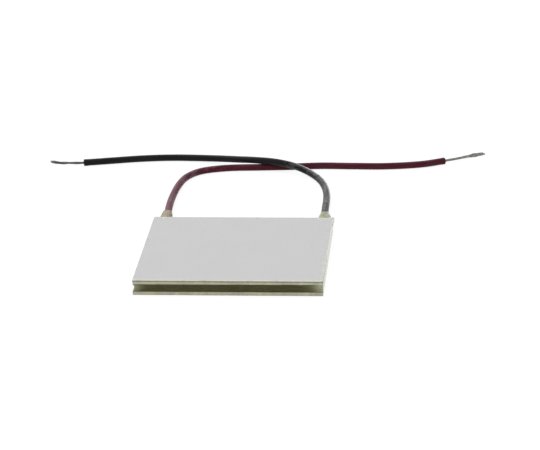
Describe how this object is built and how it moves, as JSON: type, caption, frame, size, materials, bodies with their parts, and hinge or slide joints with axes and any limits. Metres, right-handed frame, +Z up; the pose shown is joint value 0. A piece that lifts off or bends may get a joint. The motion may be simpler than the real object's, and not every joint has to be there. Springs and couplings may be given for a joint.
{
  "type": "thermoelectric cooling module",
  "caption": "Flat square thermoelectric cooling module: ceramic plates round a sealed grid of semiconductor pellets, with a red and a black lead from the back edge.",
  "frame": {"origin": "centre of the lower (hot side) plate's outer face", "axes": "+Z up, from the hot side to the cold side; +Y towards the leads; +X towards the black lead"},
  "size_m": [0.1054, 0.0959, 0.0033],
  "materials": {
    "ceramic_cold": "matte",
    "ceramic_hot": "matte",
    "copper": "satin",
    "n_telluride": "satin",
    "p_telluride": "satin",
    "solder": "satin",
    "seal": "satin",
    "exit_silicone": "satin",
    "red_insulation": "satin",
    "black_insulation": "satin",
    "tinned_strands": "satin"
  },
  "bodies": {
    "root": {"hot_side_plate": "ceramic_hot", "cold_side_plate": "ceramic_cold", "hot_side_tabs": "copper", "cold_side_tabs": "copper", "red_lead_pad": "copper", "black_lead_pad": "copper", "n_type_pellets": "n_telluride", "p_type_pellets": "p_telluride", "hot_side_solder": "solder", "cold_side_solder": "solder", "perimeter_seal": "seal", "red_lead": "red_insulation", "black_lead": "black_insulation", "red_lead_bare_end": "tinned_strands", "black_lead_bare_end": "tinned_strands", "red_lead_inner_end": "tinned_strands", "black_lead_inner_end": "tinned_strands", "red_lead_solder_joint": "solder", "black_lead_solder_joint": "solder", "red_lead_exit_seal": "exit_silicone", "black_lead_exit_seal": "exit_silicone"}
  },
  "joints": []
}
